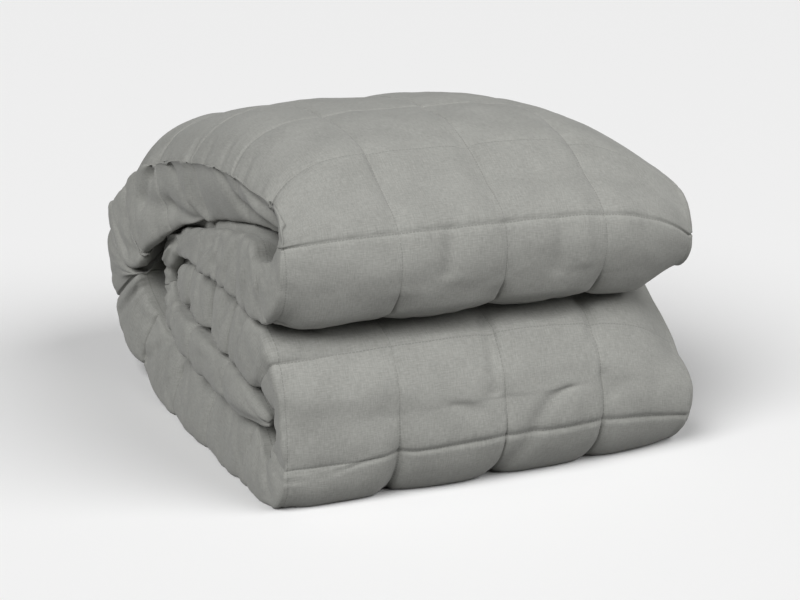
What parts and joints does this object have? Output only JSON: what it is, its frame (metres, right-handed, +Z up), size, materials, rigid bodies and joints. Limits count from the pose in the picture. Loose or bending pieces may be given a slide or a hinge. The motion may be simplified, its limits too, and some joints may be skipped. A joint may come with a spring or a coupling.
{
  "type": "weighted blanket",
  "caption": "Square-quilted weighted blanket, folded lengthwise and rolled up into a soft layered stack that rests flat on a shelf or bed.",
  "frame": {"origin": "centre of the footprint on the surface that the folded blanket rests on", "axes": "+Z up, +Y towards the back where the outermost layer wraps around, +X along the rolls towards the side with the hems"},
  "size_m": [0.432, 0.5454, 0.3134],
  "materials": {
    "grey_cloth": "matt, fine plain weave in a warm mid-grey"
  },
  "bodies": {
    "root": {"blanket": "grey_cloth"}
  },
  "joints": []
}
